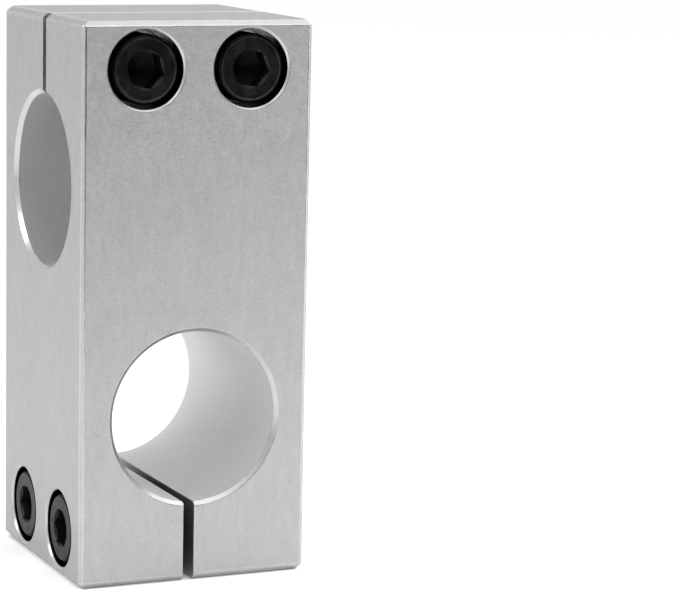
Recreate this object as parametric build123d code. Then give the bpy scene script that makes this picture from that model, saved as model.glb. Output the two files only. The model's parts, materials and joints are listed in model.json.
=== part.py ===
"""Shaft cross clamp: a one-piece block that clamps two round shafts at right angles.

The block stands on its lower end. Z is up, the origin is the middle of the lower end face, the front
face looks along -Y and the left face along -X. The lower bore runs along Y and is closed by two cap
screws whose heads lie in the left face. The upper bore runs along X and is closed by two cap screws
whose heads lie in the front face. Half a turn about the level diagonal through the middle of the
block carries the lower clamp onto the upper one, so the upper clamp is made as that turned copy.
"""

import os
from math import cos, radians, sqrt, tan

from build123d import *

# Driving dimensions, in millimetres and degrees

# Block
block_width = 35.0
bore_diameter = 25.0
bore_spacing = 33.0
bore_end_distance = 24.25
bore_chamfer = 0.6
end_chamfer = 0.9
edge_chamfer = 0.5

# Slit that lets a bore close; its mid plane is off the bore's axis, towards the screw heads
slit_width = 1.6
slit_offset = 0.75
slit_edge_chamfer = 0.12

# Screw holes: counterbore and clearance hole on the heads' side of the slit, thread on the other
screw_side_distance = 9.5
screw_end_distance = 7.0
counterbore_diameter = 11.3
counterbore_chamfer = 0.3
clearance_hole_diameter = 6.6
head_recess = 0.35
thread_clearance = 0.05
tapped_hole_chamfer = 0.5

# Hexagon socket cap screw, M6 x 25
thread_diameter = 6.0
screw_length = 25.0
thread_end_chamfer = 0.8
neck_flare = 0.2
head_diameter = 10.0
head_height = 6.0
head_edge_chamfer = 0.6
socket_across_flats = 5.0
socket_depth = 3.0
socket_mouth_diameter = 5.7
socket_floor_angle = 140.0

# Turn of each screw's socket as seen from its head, from the position with a flat at the top
upper_left_socket_turn = -15.0
upper_right_socket_turn = -9.0
lower_front_socket_turn = -3.0
lower_rear_socket_turn = 5.0

# Cutters run this far past the faces that they open
overrun = 1.0

# Sizes worked out from the driving dimensions
block_height = bore_spacing + 2 * bore_end_distance
half_width = block_width / 2
bore_radius = bore_diameter / 2
thread_radius = thread_diameter / 2
tapped_radius = thread_radius + thread_clearance
counterbore_depth = head_recess + head_height
heads_side_jaw = half_width - slit_offset
turn_over_axis = Axis((0, 0, block_height / 2), (1, 1, 0))


def turned_over(shape):
    """The upper clamp's copy of a shape of the lower clamp."""
    return shape.rotate(turn_over_axis, 180)


def turned_profile(points):
    """A solid of revolution about Z, from its half section as (radius, height) points."""
    section = make_face(Plane.XZ * Polyline(*points, close=True))
    return revolve(section, Axis.Z)


def screw_plane(depth, side):
    """Plane across a lower screw's axis, this deep in the left face; Z points out of the head."""
    origin = (depth - half_width, side * (half_width - screw_side_distance), screw_end_distance)
    return Plane(origin, x_dir=(0, -1, 0), z_dir=(-1, 0, 0))


def block_blank():
    """The bare block, with its two ends chamfered and its four long edges broken."""
    blank = Pos(0, 0, block_height / 2) * Box(block_width, block_width, block_height)
    ends = blank.faces().filter_by(Axis.Z)
    blank = chamfer(ends.edges(), end_chamfer)
    return chamfer(blank.edges().filter_by(Axis.Z), edge_chamfer)


def bore_cutter():
    """The lower bore along Y, with a chamfered rim at each mouth."""
    mouth_radius = bore_radius + bore_chamfer + overrun
    cone = bore_chamfer + overrun
    reach = half_width + overrun
    bore = turned_profile([
        (0, -reach),
        (mouth_radius, -reach),
        (bore_radius, cone - reach),
        (bore_radius, reach - cone),
        (mouth_radius, reach),
        (0, reach),
    ])
    return Pos(0, 0, bore_end_distance) * Rot(90, 0, 0) * bore


def edge_break(plane, length):
    """Prism along the plane's Z that breaks both edges of the slit where it opens towards plane's Y."""
    half_slit = slit_width / 2
    mouth = half_slit + slit_edge_chamfer + overrun
    section = make_face(Polyline(
        (-half_slit, -slit_edge_chamfer),
        (half_slit, -slit_edge_chamfer),
        (mouth, overrun),
        (-mouth, overrun),
        close=True,
    ))
    return plane * extrude(section, length)


def slit_cutter():
    """The lower slit, from the bore to the lower end, with its four long openings' edges broken."""
    reach = block_width + 2 * overrun
    height = bore_end_distance + overrun
    slit = Pos(-slit_offset, 0, height / 2 - overrun) * Box(slit_width, reach, height)
    wall_height = bore_end_distance - sqrt(bore_radius ** 2 - slit_offset ** 2)
    front = Plane((-slit_offset, -half_width, -overrun), x_dir=(-1, 0, 0), z_dir=(0, 0, 1))
    back = Plane((-slit_offset, half_width, -overrun), x_dir=(1, 0, 0), z_dir=(0, 0, 1))
    end = Plane((-slit_offset, -reach / 2, 0), x_dir=(1, 0, 0), z_dir=(0, 1, 0))
    bore = Plane((-slit_offset, reach / 2, wall_height), x_dir=(1, 0, 0), z_dir=(0, -1, 0))
    breaks = [
        edge_break(front, height),
        edge_break(back, height),
        edge_break(end, reach),
        edge_break(bore, reach),
    ]
    return slit + breaks


def screw_hole_cutter(side):
    """One lower screw hole: counterbore, clearance hole to the slit, tapped hole through the far jaw."""
    counterbore_radius = counterbore_diameter / 2
    clearance_radius = clearance_hole_diameter / 2
    hole = turned_profile([
        (0, overrun),
        (counterbore_radius + counterbore_chamfer + overrun, overrun),
        (counterbore_radius, -counterbore_chamfer),
        (counterbore_radius, -counterbore_depth),
        (clearance_radius, -counterbore_depth),
        (clearance_radius, -heads_side_jaw),
        (tapped_radius, -heads_side_jaw),
        (tapped_radius, tapped_hole_chamfer - block_width),
        (tapped_radius + tapped_hole_chamfer + overrun, -block_width - overrun),
        (0, -block_width - overrun),
    ])
    return screw_plane(0, side) * hole


def clamp_block():
    """The block with its two clamps."""
    lower_clamp = [bore_cutter(), slit_cutter(), screw_hole_cutter(-1), screw_hole_cutter(1)]
    upper_clamp = [turned_over(cutter) for cutter in lower_clamp]
    return block_blank() - lower_clamp - upper_clamp


def socket_cutter(turn):
    """The hexagon socket, with a countersunk mouth and a shallow cone for its floor."""
    corner_radius = socket_across_flats / 2 / cos(radians(30))
    mouth_radius = socket_mouth_diameter / 2
    flats = RegularPolygon(socket_across_flats / 2, 6, major_radius=False, rotation=turn)
    bottom = head_height - socket_depth
    hexagon = Pos(0, 0, bottom) * extrude(flats, socket_depth + overrun)
    mouth = turned_profile([
        (0, head_height - mouth_radius),
        (mouth_radius + overrun, head_height + overrun),
        (0, head_height + overrun),
    ])
    cone_depth = corner_radius / tan(radians(socket_floor_angle / 2))
    floor = turned_profile([(0, bottom - cone_depth), (corner_radius, bottom), (0, bottom)])
    prism = Pos(0, 0, bottom - cone_depth) * extrude(flats, cone_depth)
    return hexagon + mouth + (floor & prism)


def cap_screw(turn):
    """The cap screw, its head above the plane Z = 0 and its threaded shank below."""
    head_radius = head_diameter / 2
    blank = turned_profile([
        (0, -screw_length),
        (thread_radius - thread_end_chamfer, -screw_length),
        (thread_radius, thread_end_chamfer - screw_length),
        (thread_radius, -neck_flare),
        (thread_radius + neck_flare, 0),
        (head_radius, 0),
        (head_radius, head_height - head_edge_chamfer),
        (head_radius - head_edge_chamfer, head_height),
        (0, head_height),
    ])
    return blank - socket_cutter(turn)


def lower_screw(side, turn):
    """A cap screw with its head down on the floor of a lower counterbore."""
    return screw_plane(counterbore_depth, side) * cap_screw(turn)


parts = {
    "clamp_block": clamp_block(),
    "upper_screw_left": turned_over(lower_screw(-1, upper_left_socket_turn)),
    "upper_screw_right": turned_over(lower_screw(1, upper_right_socket_turn)),
    "lower_screw_front": lower_screw(-1, lower_front_socket_turn),
    "lower_screw_rear": lower_screw(1, lower_rear_socket_turn),
}

os.makedirs("parts", exist_ok=True)
for name, part in parts.items():
    export_step(part, f"parts/{name}.step")
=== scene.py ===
"""The looks of the shaft cross clamp: a blasted aluminium block with machined bores and black cap screws.

The object's sizes are in millimetres until a piece is finished, and the studio's are in metres. Z is up,
the front face looks along -Y and the left face along -X. The upper clamp is the lower clamp turned over
about the level diagonal through the middle of the block.
"""

import json
import math
from contextlib import contextmanager

import bmesh
import bpy
from mathutils import Matrix, Vector


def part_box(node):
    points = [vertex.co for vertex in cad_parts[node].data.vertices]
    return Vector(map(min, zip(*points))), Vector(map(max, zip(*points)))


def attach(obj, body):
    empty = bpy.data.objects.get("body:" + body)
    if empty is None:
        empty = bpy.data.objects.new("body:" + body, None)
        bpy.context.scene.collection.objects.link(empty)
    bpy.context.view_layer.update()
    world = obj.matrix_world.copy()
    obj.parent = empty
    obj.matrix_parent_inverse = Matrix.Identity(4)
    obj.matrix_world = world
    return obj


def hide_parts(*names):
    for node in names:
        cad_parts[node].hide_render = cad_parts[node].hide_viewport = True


MM = 0.001

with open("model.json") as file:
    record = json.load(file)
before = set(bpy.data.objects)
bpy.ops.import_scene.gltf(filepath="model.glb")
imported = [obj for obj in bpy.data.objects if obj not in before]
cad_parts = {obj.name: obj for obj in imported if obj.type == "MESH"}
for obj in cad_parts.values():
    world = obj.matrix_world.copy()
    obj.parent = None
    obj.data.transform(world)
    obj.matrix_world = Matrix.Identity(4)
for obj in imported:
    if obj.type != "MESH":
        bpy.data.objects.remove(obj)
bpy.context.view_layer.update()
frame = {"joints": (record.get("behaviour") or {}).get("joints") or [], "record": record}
mounts = {mount["name"]: mount for mount in frame["record"]["mounts"]}
joints = {joint["child"]: joint for joint in frame["joints"]}

# Sizes that the frame gives
block_low, block_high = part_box("clamp_block")
block_width = (block_high.x - block_low.x) / MM
block_height = (block_high.z - block_low.z) / MM
half_width = block_width / 2
bore_radius = mounts["lower_bore"]["dims"]["r_mm"]
bore_height = mounts["lower_bore"]["pos_m"][2] / MM
bore_chamfer = (block_width - mounts["lower_bore"]["dims"]["length_mm"]) / 2
lower_front_pos = joints["lower_front_screw"]["pos_m"]
seat_depth = half_width + lower_front_pos[0] / MM
screw_side = -lower_front_pos[1] / MM
screw_height = lower_front_pos[2] / MM
screw_low, screw_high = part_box("lower_screw_front")
screw_whole_length = (screw_high.x - screw_low.x) / MM
head_radius = (screw_high.y - screw_low.y) / MM / 2

# Block
END_CHAMFER = 0.9
EDGE_CHAMFER = 0.5
SLIT_WIDTH = 1.6
SLIT_OFFSET = 0.75
SLIT_EDGE_CHAMFER = 0.12
COUNTERBORE_RADIUS = 5.65
COUNTERBORE_CHAMFER = 0.3
CLEARANCE_RADIUS = 3.3
TAPPED_RADIUS = 3.05
TAPPED_CHAMFER = 0.5
EDGE_ROUND = 0.25
CUT_EDGE_ROUND = 0.05

# Head of the screw, from its socket outward and down its side
HEAD_HEIGHT = 6.0
SOCKET_ACROSS_FLATS = 5.0
SOCKET_DEPTH = 3.0
SOCKET_FLOOR_ANGLE = 140.0
SOCKET_FLOOR_SHARES = (0.02, 0.35, 0.7, 0.97)
SOCKET_WALL_FOOT = 0.06
SOCKET_MOUTH_RADIUS = 2.85
SOCKET_MOUTH_STRIP = 0.05
SOCKET_MOUTH_LEAST_WIDTH = 0.03
HEAD_EDGE = 0.6
KNURL_DEPTH = 0.14
KNURL_RIBS = 72
KNURL_TOP_MARGIN = 0.25
KNURL_BOTTOM = 0.75
COLLAR_TOP = 0.5
COLLAR_INSET = 0.02
HEAD_FOOT_HEIGHT = 0.12
HEAD_FOOT_INSET = 0.14
NECK_FLARE = 0.2

# Turn of each socket as seen from its head, in degrees
SOCKET_TURNS = {
    "upper_screw_left": -15.0,
    "upper_screw_right": -9.0,
    "lower_screw_front": -3.0,
    "lower_screw_rear": 5.0,
}

# Threads of the screw and of its hole; crest and root are half widths, as shares of the pitch
THREAD_RADIUS = 3.0
THREAD_PITCH = 1.0
THREAD_DEPTH = 0.6
THREAD_CREST = 0.08
THREAD_ROOT = 0.18
THREAD_INSET = 0.03
THREAD_TOP = 0.1
THREAD_RUN_OUT = -2.2
THREAD_END_CHAMFER = 0.8
TAPPED_THREAD_DEPTH = 0.5
TAPPED_THREAD_INSET = 0.01
SLEEVE_WALL = 0.12
SLEEVE_CLEARANCE = 0.25

# Burnish and painted light: the share of its own tone that is added to the black oxide, and how wide it lies
# beside an edge
# Painted shade: the floor of the socket is darkened
SOCKET_FLOOR_PAINTED_SHADE = -0.2
SOCKET_WALL_BURNISH = 2.0
MOUTH_BURNISH = 0.15
MOUTH_BURNISH_WIDTH = 0.15
# Painted highlight: a bright ring at the rim of the head's face, and how far inside the rim it starts and is
# full
HEAD_EDGE_PAINTED_HIGHLIGHT = 1.5
HEAD_EDGE_HIGHLIGHT_START = 0.1
HEAD_EDGE_HIGHLIGHT_FULL = 0.03
# Painted shade over the head's rounded edge
HEAD_ROUND_PAINTED_SHADE = -0.6

# Painted light around the head's rounded edge, by degrees from the top: a painted highlight next to the
# face, then painted shade
HEAD_EDGE_PAINTED_LIGHT = {
    6: HEAD_EDGE_PAINTED_HIGHLIGHT,
    15: 0.0,
    30: HEAD_ROUND_PAINTED_SHADE,
    45: HEAD_ROUND_PAINTED_SHADE,
    60: HEAD_ROUND_PAINTED_SHADE,
    75: HEAD_ROUND_PAINTED_SHADE,
}

# Smoothness of round forms
BORE_STEPS = 256
HOLE_STEPS = 128
SCREW_STEPS = 288
THREAD_STEPS = 60
ROWS_PER_PITCH = 8
SLEEVE_ROWS_PER_PITCH = 16
EDGE_SEGMENTS = 3

# Work on the meshes: angles in degrees, and how far points may lie apart and cutters run past a face
ROUNDED_ABOVE = 24.0
SHARP_ABOVE_ON_SCREW = 32.0
SHARP_ABOVE_IN_SLEEVE = 40.0
FLAT_BELOW = 1.0
WELD_DISTANCE = 1e-5
OVERRUN = 1.0

# Colours of the metals
BLASTED = (0.437, 0.437, 0.44)
# The two bores share one finish: the lower bore's copy is lightened as painted light, and the upper bore's
# darkened as painted shade
BORED_LOWER_PAINTED_LIGHT = (0.705, 0.705, 0.71)
BORED_UPPER_PAINTED_SHADE = (0.49, 0.49, 0.494)
# Darker than the outer faces: painted shade in the counterbores, screw holes and threads
DRILLED_PAINTED_SHADE = (0.34, 0.34, 0.343)
TURNED = (0.46, 0.46, 0.464)
BLACK_OXIDE = (0.0187, 0.0187, 0.0202)
# The socket's oxide, darkened as painted shade in the hollow
BARE_SOCKET_PAINTED_SHADE = (0.0115, 0.0115, 0.0122)
EDGE_ON_TINT = (0.76, 0.76, 0.76, 1)

# Noise scales along X, Y and Z, in features for each metre
BAR_STREAKS = (900.0, 900.0, 260.0)
RINGS_ABOUT_Y = (40.0, 7000.0, 40.0)
RINGS_ABOUT_X = (7000.0, 40.0, 40.0)
SAW_LINES = (900.0, 900.0, 5000.0)

# The span that most of a noise lies in, and the peaks of it that become marks
NOISE_LOW = 0.3
NOISE_HIGH = 0.7
MARK_LOW = 0.76
MARK_HIGH = 0.84

# Camera, fitted to the photograph: degrees, and millimetres from the middle of the block
IMAGE_WIDTH = 679
FOCAL_PIXELS = 2779.2
SENSOR_WIDTH = 36.0
CAMERA_YAW = 24.707
CAMERA_PITCH = 9.299
CAMERA_ROLL = -1.24
CAMERA_RIGHT = -27.743
CAMERA_DOWN = -1.792
CAMERA_DISTANCE = 414.207

# Studio, in metres
CLIP_START = 0.01
CLIP_END = 50.0
FLOOR_REACH = 6.0
FLOOR_WHITE = (0.98, 0.98, 0.98, 1)
FLOOR_ROUGHNESS = 0.9
PANEL_LEFT = -0.3
PANEL_RIGHT = 0.6
PANEL_Y = -0.25
PANEL_BOTTOM = 0.001
PANEL_TOP = 0.5
PANEL_LEVEL = 0.11
LAMP_SIZE = 0.24
LAMP_AIM_HEIGHT = 0.05
WORLD_STRENGTH = 1.0
BLACK = (0, 0, 0, 1)
WHITE = (1, 1, 1, 1)

# Sizes worked out from these
socket_flat = SOCKET_ACROSS_FLATS / 2
socket_corner = socket_flat / math.cos(math.radians(30))
socket_cone_depth = socket_corner / math.tan(math.radians(SOCKET_FLOOR_ANGLE / 2))

turn_over = (
    Matrix.Translation((0, 0, block_height / 2))
    @ Matrix.Rotation(math.pi, 4, Vector((1, 1, 0)))
    @ Matrix.Translation((0, 0, -block_height / 2))
)

# Each clamp's level, its place, and its screws' names and sides
clamps = [
    ("lower", Matrix.Identity(4), {"front": -1, "rear": 1}),
    ("upper", turn_over, {"left": -1, "right": 1}),
]


def new_object(name, points, faces, matrix=Matrix.Identity(4)):
    """A mesh object from points and faces."""
    mesh = bpy.data.meshes.new(name)
    mesh.from_pydata([matrix @ Vector(point) for point in points], [], faces)
    mesh.update()
    obj = bpy.data.objects.new(name, mesh)
    bpy.context.scene.collection.objects.link(obj)
    return obj


@contextmanager
def editing(obj):
    """Opens an object's mesh for a change and writes it back."""
    bm = bmesh.new()
    bm.from_mesh(obj.data)
    yield bm
    bm.to_mesh(obj.data)
    bm.free()


def tidy_mesh(obj):
    """Welds doubled points and turns all faces outward."""
    with editing(obj) as bm:
        bmesh.ops.remove_doubles(bm, verts=bm.verts, dist=WELD_DISTANCE)
        bmesh.ops.recalc_face_normals(bm, faces=bm.faces)
    return obj


def join(obj, other):
    """Moves another object's mesh into an object's."""
    with editing(obj) as bm:
        bm.from_mesh(other.data)
    bpy.data.objects.remove(other)


def polar(radius, angle, height):
    """A point from its distance and angle about Z, and its height."""
    return radius * math.cos(angle), radius * math.sin(angle), height


def band(low, high):
    """The faces between two rings of point numbers; a ring that repeats one number closes to a tip."""
    count = len(low)
    faces = []
    for i in range(count):
        j = (i + 1) % count
        corners = [low[i], low[j], high[j], high[i]]
        faces.append(list(dict.fromkeys(corners)))
    return faces


def turned(name, profile, steps, matrix, rims):
    """A closed solid of revolution about Z from (radius, height) points that start and end on the axis.

    The stretches of the profile that are numbered in rims get the second material.
    """
    points = []
    rings = []
    for radius, height in profile:
        start = len(points)
        if radius == 0:
            points.append((0, 0, height))
            rings.append([start] * steps)
        else:
            points += [polar(radius, math.tau * i / steps, height) for i in range(steps)]
            rings.append(range(start, start + steps))
    faces = []
    for low, high in zip(rings, rings[1:]):
        faces += band(low, high)
    obj = new_object(name, points, faces, matrix)
    for face in obj.data.polygons:
        face.material_index = 1 if face.index // steps in rims else 0
    return tidy_mesh(obj)


def prism(name, outline, length, matrix):
    """A closed prism along Z from a flat outline."""
    count = len(outline)
    low = range(count)
    high = range(count, 2 * count)
    points = [(x, y, 0) for x, y in outline] + [(x, y, length) for x, y in outline]
    faces = [list(low)[::-1], list(high)] + band(low, high)
    return tidy_mesh(new_object(name, points, faces, matrix))


def plane_matrix(origin, x_dir, z_dir):
    """The matrix of a plane from its origin, its X direction and its normal."""
    x = Vector(x_dir).normalized()
    z = Vector(z_dir).normalized()
    y = z.cross(x)
    rotation = Matrix((x, y, z)).transposed().to_4x4()
    return Matrix.Translation(origin) @ rotation


def screw_plane(depth, side):
    """Plane across a lower screw's axis, this deep in the left face; Z points out of the head."""
    return plane_matrix((depth - half_width, side * screw_side, screw_height), (0, -1, 0), (-1, 0, 0))


def block_blank():
    """The bare block: its ends chamfered and its long edges broken."""
    end = half_width - END_CHAMFER
    corner = half_width - EDGE_CHAMFER
    meet = half_width - EDGE_CHAMFER / 2
    levels = [
        (0, [(end, end)]),
        (END_CHAMFER - EDGE_CHAMFER / 2, [(meet, meet)]),
        (END_CHAMFER, [(half_width, corner), (corner, half_width)]),
    ]
    signs = (-1, 1)
    points = []
    for height, corners in levels:
        for z in (height, block_height - height):
            for x, y in corners:
                points += [(x_sign * x, y_sign * y, z) for x_sign in signs for y_sign in signs]
    obj = new_object("clamp_block_body", points, [])
    with editing(obj) as bm:
        bmesh.ops.convex_hull(bm, input=bm.verts)
        bmesh.ops.dissolve_limit(bm, angle_limit=math.radians(FLAT_BELOW), verts=bm.verts, edges=bm.edges)
        bmesh.ops.recalc_face_normals(bm, faces=bm.faces)
    return obj


def bore_cutter(place):
    """The lower bore along Y, with a chamfered rim at each mouth."""
    cone = bore_chamfer + OVERRUN
    mouth = bore_radius + cone
    reach = half_width + OVERRUN
    profile = [
        (0, -reach),
        (mouth, -reach),
        (bore_radius, cone - reach),
        (bore_radius, reach - cone),
        (mouth, reach),
        (0, reach),
    ]
    axis = plane_matrix((0, 0, bore_height), (1, 0, 0), (0, -1, 0))
    return turned("bore_cutter", profile, BORE_STEPS, place @ axis, rims=(1, 3))


def edge_break(place, origin, x_dir, z_dir, length):
    """Prism that breaks both edges of the slit where it opens."""
    half = SLIT_WIDTH / 2
    mouth = half + SLIT_EDGE_CHAMFER + OVERRUN
    outline = [(-half, -SLIT_EDGE_CHAMFER), (half, -SLIT_EDGE_CHAMFER), (mouth, OVERRUN), (-mouth, OVERRUN)]
    return prism("edge_break", outline, length, place @ plane_matrix(origin, x_dir, z_dir))


def slit_cutters(place):
    """The lower slit from the bore to the lower end, with its openings' edges broken."""
    half = SLIT_WIDTH / 2
    x = -SLIT_OFFSET
    reach = block_width + 2 * OVERRUN
    height = bore_height + OVERRUN
    outline = [(x - half, -reach / 2), (x + half, -reach / 2), (x + half, reach / 2), (x - half, reach / 2)]
    wall = bore_height - math.sqrt(bore_radius**2 - SLIT_OFFSET**2)
    return [
        prism("slit", outline, height, place @ Matrix.Translation((0, 0, -OVERRUN))),
        edge_break(place, (x, -half_width, -OVERRUN), (-1, 0, 0), (0, 0, 1), height),
        edge_break(place, (x, half_width, -OVERRUN), (1, 0, 0), (0, 0, 1), height),
        edge_break(place, (x, -reach / 2, 0), (1, 0, 0), (0, 1, 0), reach),
        edge_break(place, (x, reach / 2, wall), (1, 0, 0), (0, -1, 0), reach),
    ]


def screw_hole_cutter(place, side):
    """One stepped screw hole from the head's face through the slit to the far face."""
    heads_side_jaw = half_width - SLIT_OFFSET
    profile = [
        (0, OVERRUN),
        (COUNTERBORE_RADIUS + COUNTERBORE_CHAMFER + OVERRUN, OVERRUN),
        (COUNTERBORE_RADIUS, -COUNTERBORE_CHAMFER),
        (COUNTERBORE_RADIUS, -seat_depth),
        (CLEARANCE_RADIUS, -seat_depth),
        (CLEARANCE_RADIUS, -heads_side_jaw),
        (TAPPED_RADIUS, -heads_side_jaw),
        (TAPPED_RADIUS, TAPPED_CHAMFER - block_width),
        (TAPPED_RADIUS + TAPPED_CHAMFER + OVERRUN, -block_width - OVERRUN),
        (0, -block_width - OVERRUN),
    ]
    return turned("screw_hole", profile, HOLE_STEPS, place @ screw_plane(0, side), rims=(1, 7))


def bake(obj):
    """Applies an object's modifiers to its mesh."""
    graph = bpy.context.evaluated_depsgraph_get()
    shape = obj.evaluated_get(graph)
    mesh = bpy.data.meshes.new_from_object(shape, preserve_all_data_layers=True, depsgraph=graph)
    obj.modifiers.clear()
    old = obj.data
    obj.data = mesh
    bpy.data.meshes.remove(old)


def cut(obj, cutter, *materials):
    """Takes a cutter out of an object; the cut faces get the cutter's materials."""
    for material in materials:
        cutter.data.materials.append(material)
    step = obj.modifiers.new("cut", "BOOLEAN")
    step.operation = "DIFFERENCE"
    step.solver = "EXACT"
    step.material_mode = "TRANSFER"
    step.object = cutter
    bake(obj)
    bpy.data.objects.remove(cutter)


def soften_edges(obj):
    """Rounds the block's own edges a little, and the edges of what is cut into it less.

    The rounded strips get the block's second material.
    """
    with editing(obj) as bm:
        weight = bm.edges.layers.float.new("bevel_weight_edge")
        for edge in bm.edges:
            if len(edge.link_faces) == 2 and edge.calc_face_angle() > math.radians(ROUNDED_ABOVE):
                uncut = all(face.material_index == 0 for face in edge.link_faces)
                edge[weight] = 1.0 if uncut else CUT_EDGE_ROUND / EDGE_ROUND
    step = obj.modifiers.new("round", "BEVEL")
    step.limit_method = "WEIGHT"
    step.width = EDGE_ROUND
    step.segments = EDGE_SEGMENTS
    step.use_clamp_overlap = False
    step.harden_normals = True
    step.miter_outer = "MITER_ARC"
    step.material = 1
    bake(obj)


def shade_by_angle(obj, degrees):
    """Smooth faces, with edges over the angle kept sharp."""
    obj.data.shade_smooth()
    obj.data.set_sharp_from_angle(angle=math.radians(degrees))


def finish_piece(obj, body, replaced=None):
    """Turns a piece into metres and hands it to the frame."""
    obj.data.transform(Matrix.Scale(MM, 4))
    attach(obj, body)
    if replaced:
        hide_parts(replaced)


class Shader:
    """A node material under construction."""

    def __init__(self, name):
        self.material = bpy.data.materials.new(name)
        self.material.use_nodes = True
        self.nodes = self.material.node_tree.nodes
        self.links = self.material.node_tree.links
        self.nodes.clear()
        self.output = self.nodes.new("ShaderNodeOutputMaterial")
        self.bsdf = self.nodes.new("ShaderNodeBsdfPrincipled")
        self.links.new(self.bsdf.outputs["BSDF"], self.output.inputs["Surface"])
        self.coordinates = self.nodes.new("ShaderNodeTexCoord").outputs["Object"]

    def noise(self, scale, detail=2.0, vector=None):
        """A noise value from 0 to 1 with features about 1/scale metres across."""
        node = self.nodes.new("ShaderNodeTexNoise")
        node.inputs["Scale"].default_value = scale
        node.inputs["Detail"].default_value = detail
        self.links.new(vector or self.coordinates, node.inputs["Vector"])
        return node.outputs["Fac"]

    def stretched_noise(self, scales):
        """Noise with a scale of its own along each of X, Y and Z."""
        node = self.nodes.new("ShaderNodeMapping")
        node.inputs["Scale"].default_value = scales
        self.links.new(self.coordinates, node.inputs["Vector"])
        return self.noise(scale=1.0, vector=node.outputs["Vector"])

    def attribute(self, name):
        """A value stored on the mesh."""
        node = self.nodes.new("ShaderNodeAttribute")
        node.attribute_name = name
        return node.outputs["Fac"]

    def fit(self, value, low, high, from_low=NOISE_LOW, from_high=NOISE_HIGH):
        """The value carried from one range to another, and held within it."""
        node = self.nodes.new("ShaderNodeMapRange")
        node.inputs["From Min"].default_value = from_low
        node.inputs["From Max"].default_value = from_high
        node.inputs["To Min"].default_value = low
        node.inputs["To Max"].default_value = high
        self.links.new(value, node.inputs["Value"])
        return node.outputs["Result"]

    def math(self, operation, first, second):
        """A sum, product or the like of two values, or of a value and a number."""
        node = self.nodes.new("ShaderNodeMath")
        node.operation = operation
        for socket, value in zip(node.inputs, (first, second)):
            if isinstance(value, (int, float)):
                socket.default_value = value
            else:
                self.links.new(value, socket)
        return node.outputs["Value"]

    def product(self, first, *others):
        """Values multiplied together, one after another."""
        result = first
        for value in others:
            result = self.math("MULTIPLY", result, value)
        return result

    def tint(self, colour, factor):
        """A fixed colour times a varying factor."""
        node = self.nodes.new("ShaderNodeMix")
        node.data_type = "RGBA"
        node.blend_type = "MULTIPLY"
        node.inputs["Factor"].default_value = 1.0
        node.inputs["A"].default_value = (*colour, 1)
        self.links.new(factor, node.inputs["B"])
        return node.outputs["Result"]

    def bump(self, height, strength, distance, below=None):
        """Relief from a height value; the distance is in millimetres."""
        node = self.nodes.new("ShaderNodeBump")
        node.inputs["Strength"].default_value = strength
        node.inputs["Distance"].default_value = distance * MM
        self.links.new(height, node.inputs["Height"])
        if below:
            self.links.new(below, node.inputs["Normal"])
        return node.outputs["Normal"]

    def set(self, **sockets):
        """Sets or links the shader's sockets by name, with underscores for spaces."""
        for name, value in sockets.items():
            socket = self.bsdf.inputs[name.replace("_", " ")]
            if isinstance(value, bpy.types.NodeSocket):
                self.links.new(value, socket)
            else:
                socket.default_value = value
        return self.material


def blasted_aluminium():
    """Outer faces: fine blasted grain over faint streaks along the bar, clouding and a few small marks."""
    shader = Shader("blasted_aluminium")
    grain = shader.noise(scale=3400)
    streaks = shader.stretched_noise(BAR_STREAKS)
    clouds = shader.noise(scale=120, detail=3.0)
    marks = shader.noise(scale=900, detail=1.0)
    tone = shader.product(
        shader.fit(grain, low=0.915, high=1.085),
        shader.fit(clouds, low=0.988, high=1.012),
        shader.fit(marks, low=1.0, high=0.88, from_low=MARK_LOW, from_high=MARK_HIGH),
        shader.fit(streaks, low=0.965, high=1.035),
    )
    return shader.set(
        Base_Color=shader.tint(BLASTED, tone),
        Metallic=1.0,
        Specular_Tint=EDGE_ON_TINT,
        Roughness=shader.fit(grain, low=0.46, high=0.56),
        Normal=shader.bump(grain, strength=0.35, distance=0.02),
    )


def bored_aluminium(name, ring_scales, colour):
    """Bore walls: faint rings around the bore's axis over a fine satin grain."""
    shader = Shader(name)
    rings = shader.stretched_noise(ring_scales)
    grain = shader.noise(scale=3600)
    tone = shader.product(
        shader.fit(rings, low=0.975, high=1.025),
        shader.fit(grain, low=0.94, high=1.06),
    )
    ring_relief = shader.bump(rings, strength=0.2, distance=0.004)
    return shader.set(
        Base_Color=shader.tint(colour, tone),
        Metallic=1.0,
        Roughness=shader.fit(grain, low=0.66, high=0.74),
        Normal=shader.bump(grain, strength=0.3, distance=0.012, below=ring_relief),
    )


def turned_aluminium(name, colour, roughness, relief):
    """Rims and rounded edges, smoother than the faces beside them; roughness is a low and a high value."""
    shader = Shader(name)
    grain = shader.noise(scale=3000)
    clouds = shader.noise(scale=420)
    tone = shader.product(
        shader.fit(grain, low=0.96, high=1.04),
        shader.fit(clouds, low=0.94, high=1.06),
    )
    return shader.set(
        Base_Color=shader.tint(colour, tone),
        Metallic=1.0,
        Roughness=shader.fit(clouds, *roughness),
        Normal=shader.bump(grain, strength=relief, distance=0.008),
    )


def milled_aluminium():
    """Slit walls: coarse feed lines left by the saw."""
    shader = Shader("milled_aluminium")
    lines = shader.stretched_noise(SAW_LINES)
    grain = shader.noise(scale=3000)
    tone = shader.product(
        shader.fit(lines, low=0.92, high=1.06),
        shader.fit(grain, low=0.96, high=1.04),
    )
    return shader.set(
        Base_Color=shader.tint(BLASTED, tone),
        Metallic=1.0,
        Roughness=shader.fit(grain, low=0.38, high=0.48),
        Normal=shader.bump(lines, strength=0.4, distance=0.012),
    )


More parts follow.
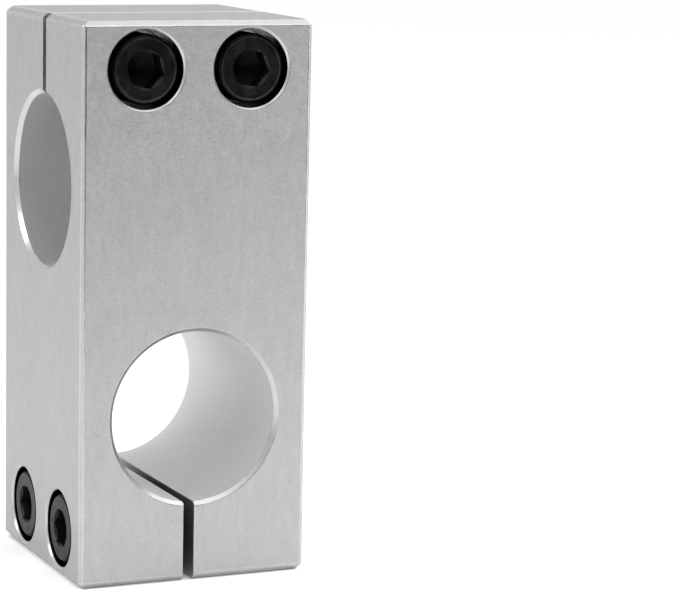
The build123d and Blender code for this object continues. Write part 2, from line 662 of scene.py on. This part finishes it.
def drilled_aluminium():
    """Counterbores and screw holes: turned walls that mirror the black screws, in a colour darkened as
    painted shade in the holes.
    """
    shader = Shader("drilled_aluminium")
    grain = shader.noise(scale=2600)
    return shader.set(
        Base_Color=shader.tint(DRILLED_PAINTED_SHADE, shader.fit(grain, low=0.94, high=1.06)),
        Metallic=1.0,
        Roughness=shader.fit(grain, low=0.16, high=0.22),
        Normal=shader.bump(grain, strength=0.05, distance=0.002),
    )


def black_oxide(name, colour, roughness):
    """Satin black oxide with a faint grain and a stored tone: burnish, a painted highlight and painted
    shade; roughness is a low and a high value.
    """
    shader = Shader(name)
    grain = shader.noise(scale=3800, detail=3.0)
    clouds = shader.noise(scale=500)
    tone = shader.product(
        shader.fit(grain, low=0.8, high=1.25),
        shader.fit(clouds, low=0.78, high=1.27),
        # Stored burnish and painted light: painted shade on the socket's floor and the head's rounded edge,
        # a painted highlight at the rim of the face
        shader.math("ADD", shader.attribute("burnish"), 1.0),
    )
    return shader.set(
        Base_Color=shader.tint(colour, tone),
        Metallic=1.0,
        Specular_Tint=EDGE_ON_TINT,
        Roughness=shader.fit(clouds, *roughness),
        Normal=shader.bump(grain, strength=0.5, distance=0.012),
    )


def build_block():
    """The block with both clamps cut into it, and the threads that show in its screw holes."""
    outer = blasted_aluminium()
    # Lit and shaded copies of one bored finish: painted light in the lower bore, painted shade in the upper
    bored = [
        bored_aluminium("bored_aluminium_lower", RINGS_ABOUT_Y, BORED_LOWER_PAINTED_LIGHT),
        bored_aluminium("bored_aluminium_upper", RINGS_ABOUT_X, BORED_UPPER_PAINTED_SHADE),
    ]
    rims = turned_aluminium("turned_aluminium", TURNED, roughness=(0.27, 0.35), relief=0.25)
    milled = milled_aluminium()
    # Painted shade in the counterbores, screw holes and threads
    drilled_painted_shade = drilled_aluminium()
    rounded = turned_aluminium("rounded_edges", BLASTED, roughness=(0.24, 0.32), relief=0.05)
    block = block_blank()
    block.data.materials.append(outer)
    block.data.materials.append(rounded)
    for (_, place, sides), bore_wall in zip(clamps, bored):
        cut(block, bore_cutter(place), bore_wall, rims)
        for cutter in slit_cutters(place):
            cut(block, cutter, milled)
        for side in sides.values():
            cut(block, screw_hole_cutter(place, side), drilled_painted_shade, rims)
    tidy_mesh(block)
    soften_edges(block)
    finish_piece(block, "block", "clamp_block")
    for level, place, sides in clamps:
        for side_name, side in sides.items():
            far_end = place @ screw_plane(block_width, side)
            build_thread_sleeve(f"{level}_thread_{side_name}", drilled_painted_shade, far_end)


def socket_radius(angle):
    """From the screw's axis to the wall of its hexagon socket."""
    sixth = math.radians(60)
    return socket_flat / math.cos((angle % sixth) - sixth / 2)


def socket_ring(share, rise=0):
    """Six-sided ring on the socket's conical floor, or above it, at a share of the way to the wall."""

    def point(angle):
        radius = socket_radius(angle) * share
        depth = socket_cone_depth * (1 - radius / socket_corner)
        return radius, HEAD_HEIGHT - SOCKET_DEPTH - depth + rise

    return point


def mouth_ring(drop=0):
    """Six-sided ring where the socket's wall meets its countersunk mouth, or below that."""

    def point(angle):
        radius = socket_radius(angle)
        return radius, min(HEAD_HEIGHT, HEAD_HEIGHT - SOCKET_MOUTH_RADIUS + radius) - drop

    return point


def mouth_outline(angle):
    """The mouth's outline in the head's face."""
    return max(SOCKET_MOUTH_RADIUS, socket_radius(angle) + SOCKET_MOUTH_LEAST_WIDTH), HEAD_HEIGHT


def round_ring(radius, height):
    """Plain round ring."""
    return lambda angle: (radius, height)


def knurled_ring(height):
    """Ring around the head's knurl."""

    def point(angle):
        phase = angle * KNURL_RIBS / math.tau % 1
        groove = 1 - abs(2 * phase - 1)
        return head_radius - KNURL_DEPTH * groove, height

    return point


class Ring:
    """A ring of the screw's surface.

    Its point is a function from an angle to a (radius, height) pair. Its burnish and painted light lighten
    or darken
    the oxide there: burnish on the socket's walls and mouth, painted shade on the socket's floor and the
    head's rounded edge, and a painted highlight at the rim of the head's face. Its in_socket says whether
    the surface from it to the next ring lies in the socket.
    """

    def __init__(self, point, burnish=0.0, in_socket=False):
        self.point = point
        self.burnish = burnish
        self.in_socket = in_socket


def screw_rings():
    """The cap screw's rings from the middle of its socket's floor to the root of its shank."""
    flat_radius = head_radius - HEAD_EDGE
    edge_height = HEAD_HEIGHT - HEAD_EDGE
    # The socket's floor, darkened as painted shade
    rings = [Ring(socket_ring(share), SOCKET_FLOOR_PAINTED_SHADE, in_socket=True) for share in SOCKET_FLOOR_SHARES]
    rings += [
        Ring(socket_ring(1.0), SOCKET_WALL_BURNISH, in_socket=True),
        Ring(socket_ring(1.0, rise=SOCKET_WALL_FOOT), SOCKET_WALL_BURNISH, in_socket=True),
        Ring(mouth_ring(drop=SOCKET_MOUTH_STRIP), SOCKET_WALL_BURNISH),
        Ring(mouth_ring(), MOUTH_BURNISH),
        Ring(mouth_outline, MOUTH_BURNISH),
        Ring(round_ring(SOCKET_MOUTH_RADIUS + MOUTH_BURNISH_WIDTH, HEAD_HEIGHT)),
        # The rim of the head's face: a painted highlight that rises from here to the next ring
        Ring(round_ring(flat_radius - HEAD_EDGE_HIGHLIGHT_START, HEAD_HEIGHT)),
        Ring(round_ring(flat_radius - HEAD_EDGE_HIGHLIGHT_FULL, HEAD_HEIGHT), HEAD_EDGE_PAINTED_HIGHLIGHT),
    ]
    # The head's rounded edge: a painted highlight next to the face, then painted shade
    for degrees, burnish in HEAD_EDGE_PAINTED_LIGHT.items():
        angle = math.radians(degrees)
        radius = flat_radius + HEAD_EDGE * math.sin(angle)
        rings.append(Ring(round_ring(radius, edge_height + HEAD_EDGE * math.cos(angle)), burnish))
    rings += [
        Ring(round_ring(head_radius, edge_height)),
        Ring(knurled_ring(edge_height - KNURL_TOP_MARGIN)),
        Ring(knurled_ring(KNURL_BOTTOM)),
        Ring(round_ring(head_radius - COLLAR_INSET, COLLAR_TOP)),
        Ring(round_ring(head_radius - COLLAR_INSET, HEAD_FOOT_HEIGHT)),
        Ring(round_ring(head_radius - HEAD_FOOT_INSET, 0)),
        Ring(round_ring(THREAD_RADIUS + NECK_FLARE, 0)),
        Ring(round_ring(THREAD_RADIUS, -NECK_FLARE)),
    ]
    return rings


def build_screw(name, body, finishes, place, turn):
    """A cap screw with a knurled head, a hexagon socket and a rolled thread."""
    rings = screw_rings()
    points = []
    for ring in rings:
        for i in range(SCREW_STEPS):
            angle = math.tau * i / SCREW_STEPS
            radius, height = ring.point(angle)
            points.append(polar(radius, angle + math.radians(turn), height))
    numbers = [range(start, start + SCREW_STEPS) for start in range(0, len(points), SCREW_STEPS)]
    faces = []
    for low, high in zip(numbers, numbers[1:]):
        faces += band(low, high)
    faces.append(list(numbers[0])[::-1])
    faces.append(list(numbers[-1]))
    head = new_object(name + "_detailed", points, faces, place)
    *bands, socket_middle, _ = head.data.polygons
    for face in bands:
        face.material_index = 1 if rings[face.index // SCREW_STEPS].in_socket else 0
    socket_middle.material_index = 1
    # Burnish and painted light and shade, stored on each point for the oxide's tone
    burnish = head.data.attributes.new("burnish", "FLOAT", "POINT")
    for i in range(len(points)):
        burnish.data[i].value = rings[i // SCREW_STEPS].burnish
    tidy_mesh(head)
    join(head, thread_rod(name + "_thread", place))
    for finish in finishes:
        head.data.materials.append(finish)
    shade_by_angle(head, SHARP_ABOVE_ON_SCREW)
    finish_piece(head, body, name)


def thread_profile(phase):
    """How deep the thread's groove is at a share of the pitch, from 0 at the crest to 1 at the root."""
    flank = (1 - 2 * THREAD_CREST - 2 * THREAD_ROOT) / 2
    distance = abs((phase % 1) - 0.5) * 2
    if distance > 1 - 2 * THREAD_CREST:
        return 0.0
    if distance < 2 * THREAD_ROOT:
        return 1.0
    return (1 - 2 * THREAD_CREST - distance) / (2 * flank)


def thread_rod(name, place):
    """The threaded shank as a strip of rows that follow the helix.

    The strip has a turn more than its length takes, and its slanting ends are pressed level. It is open
    at both ends: the upper one lies in the head, and the lower one shows deep in the tapped hole.
    """
    end = HEAD_HEIGHT - screw_whole_length
    row_height = THREAD_PITCH / ROWS_PER_PITCH
    rows = math.ceil((THREAD_TOP - end) / row_height) + ROWS_PER_PITCH + 1
    points = []
    for row in range(rows):
        for i in range(THREAD_STEPS):
            turn = i / THREAD_STEPS
            height = THREAD_TOP + THREAD_PITCH - (row * row_height + turn * THREAD_PITCH)
            height = min(max(height, end), THREAD_TOP)
            fade = min(max((THREAD_RUN_OUT - height) / THREAD_PITCH, 0), 1)
            groove = (THREAD_DEPTH - THREAD_INSET) * thread_profile(row / ROWS_PER_PITCH) * fade
            radius = THREAD_RADIUS - THREAD_INSET - groove
            radius = min(radius, THREAD_RADIUS - THREAD_END_CHAMFER + (height - end))
            points.append(polar(radius, -math.tau * turn, height))
    faces = []
    for row in range(rows - 1):
        below = row + 1
        for i in range(THREAD_STEPS):
            a = row * THREAD_STEPS + i
            b = below * THREAD_STEPS + i
            if i + 1 < THREAD_STEPS:
                faces.append([a, a + 1, b + 1, b])
            elif below + ROWS_PER_PITCH < rows:
                c = (row + ROWS_PER_PITCH) * THREAD_STEPS
                d = (below + ROWS_PER_PITCH) * THREAD_STEPS
                faces.append([a, c, d, b])
    return tidy_mesh(new_object(name, points, faces, place))


def build_thread_sleeve(name, material, place):
    """The block's thread where it shows beyond the end of a screw, as a closed sleeve in the hole."""
    length = block_width - seat_depth - (screw_whole_length - HEAD_HEIGHT) - SLEEVE_CLEARANCE
    start = TAPPED_CHAMFER
    row_count = round((length - start) / THREAD_PITCH * SLEEVE_ROWS_PER_PITCH)
    rows = []
    for row in range(row_count + 1):
        height = start + (length - start) * row / row_count
        lead_in = height - start
        lead_out = length - height
        ring = []
        for i in range(THREAD_STEPS):
            turn = i / THREAD_STEPS
            groove = thread_profile(height / THREAD_PITCH + turn)
            ridge = min((1 - groove) * TAPPED_THREAD_DEPTH, lead_in, lead_out)
            ring.append(polar(TAPPED_RADIUS - TAPPED_THREAD_INSET - ridge, math.tau * turn, height))
        rows.append(ring)
    outer = TAPPED_RADIUS + SLEEVE_WALL
    for height in (length, start):
        rows.append([polar(outer, math.tau * i / THREAD_STEPS, height) for i in range(THREAD_STEPS)])
    points = [point for ring in rows for point in ring]
    numbers = [range(first, first + THREAD_STEPS) for first in range(0, len(points), THREAD_STEPS)]
    faces = []
    for low, high in zip(numbers, numbers[1:] + numbers[:1]):
        faces += band(low, high)
    sleeve = tidy_mesh(new_object(name, points, faces, place))
    sleeve.data.materials.append(material)
    shade_by_angle(sleeve, SHARP_ABOVE_IN_SLEEVE)
    finish_piece(sleeve, "block")


def build_screws():
    """All four screws, each in the place of its solid."""
    finishes = [
        black_oxide("black_oxide_steel", BLACK_OXIDE, roughness=(0.3, 0.42)),
        # The socket's copy of the oxide: darker as painted shade in the hollow, over a rougher broached
        # finish
        black_oxide("broached_socket", BARE_SOCKET_PAINTED_SHADE, roughness=(0.45, 0.57)),
    ]
    for level, place, sides in clamps:
        for side_name, side in sides.items():
            name = f"{level}_screw_{side_name}"
            body = f"{level}_{side_name}_screw"
            build_screw(name, body, finishes, place @ screw_plane(seat_depth, side), SOCKET_TURNS[name])


def build_camera():
    """The camera at the photograph's viewing angle, with the block in the left half of the frame."""
    yaw, pitch, roll = (math.radians(angle) for angle in (CAMERA_YAW, CAMERA_PITCH, CAMERA_ROLL))
    forward = Vector((math.sin(yaw) * math.cos(pitch), math.cos(yaw) * math.cos(pitch), -math.sin(pitch)))
    level_right = Vector((math.cos(yaw), -math.sin(yaw), 0))
    level_down = forward.cross(level_right)
    right = math.cos(roll) * level_right + math.sin(roll) * level_down
    down = math.cos(roll) * level_down - math.sin(roll) * level_right
    middle = Vector((0, 0, block_height / 2))
    place = middle - right * CAMERA_RIGHT - down * CAMERA_DOWN - forward * CAMERA_DISTANCE
    data = bpy.data.cameras.new("camera")
    data.sensor_width = SENSOR_WIDTH
    data.lens = FOCAL_PIXELS / IMAGE_WIDTH * SENSOR_WIDTH
    data.clip_start = CLIP_START
    data.clip_end = CLIP_END
    camera = bpy.data.objects.new("camera", data)
    rotation = Matrix((right, -down, -forward)).transposed().to_4x4()
    camera.matrix_world = Matrix.Translation(place * MM) @ rotation
    bpy.context.scene.collection.objects.link(camera)
    bpy.context.scene.camera = camera


def studio_plane(name, corners, material):
    """A flat four-sided piece of the studio, apart from the object."""
    plane = new_object(name, corners, [[0, 1, 2, 3]])
    plane.data.materials.append(material)
    return plane


def build_floor():
    """A plain white floor that keeps the block's shadow."""
    low = -FLOOR_REACH
    high = FLOOR_REACH
    material = Shader("floor_white").set(
        Base_Color=FLOOR_WHITE,
        Roughness=FLOOR_ROUGHNESS,
        Specular_IOR_Level=0.0,
    )
    studio_plane("floor", [(low, low, 0), (high, low, 0), (high, high, 0), (low, high, 0)], material)


def build_panel():
    """A dark upright panel in front that shows only as a reflection, for depth in the metal's upper half."""
    corners = [
        (PANEL_LEFT, PANEL_Y, PANEL_BOTTOM),
        (PANEL_RIGHT, PANEL_Y, PANEL_BOTTOM),
        (PANEL_RIGHT, PANEL_Y, PANEL_TOP),
        (PANEL_LEFT, PANEL_Y, PANEL_TOP),
    ]
    material = Shader("panel_grey").set(
        Base_Color=BLACK,
        Specular_IOR_Level=0.0,
        Emission_Color=WHITE,
        Emission_Strength=PANEL_LEVEL,
    )
    panel = studio_plane("dark_panel", corners, material)
    panel.visible_camera = False
    panel.visible_diffuse = False
    panel.visible_shadow = False


def soft_box(name, place, power, size=LAMP_SIZE):
    """A square lamp aimed at the block; its power is in watts."""
    data = bpy.data.lights.new(name, "AREA")
    data.size = size
    data.energy = power
    lamp = bpy.data.objects.new(name, data)
    aim = Vector((0, 0, LAMP_AIM_HEIGHT)) - Vector(place)
    lamp.matrix_world = Matrix.Translation(place) @ aim.to_track_quat("-Z", "Y").to_matrix().to_4x4()
    bpy.context.scene.collection.objects.link(lamp)


def build_lights():
    """A white studio: an even surround, and soft boxes around and above the block."""
    world = bpy.data.worlds.new("studio")
    bpy.context.scene.world = world
    world.use_nodes = True
    background = world.node_tree.nodes["Background"]
    background.inputs["Color"].default_value = WHITE
    background.inputs["Strength"].default_value = WORLD_STRENGTH
    soft_box("front_high", place=(0.02, -0.30, 0.40), power=0.72)
    soft_box("front_left_high", place=(-0.24, -0.19, 0.40), power=0.18)
    soft_box("over_right", place=(0.17, -0.07, 0.42), power=0.20)
    soft_box("right_high", place=(0.34, 0.02, 0.34), power=0.52)
    soft_box("right_low", place=(0.45, -0.30, 0.15), power=0.90)
    soft_box("left_high", place=(-0.43, 0.05, 0.41), power=0.85, size=0.22)


build_block()
build_screws()
build_camera()
build_floor()
build_panel()
build_lights()
bpy.context.scene.view_settings.view_transform = "Standard"
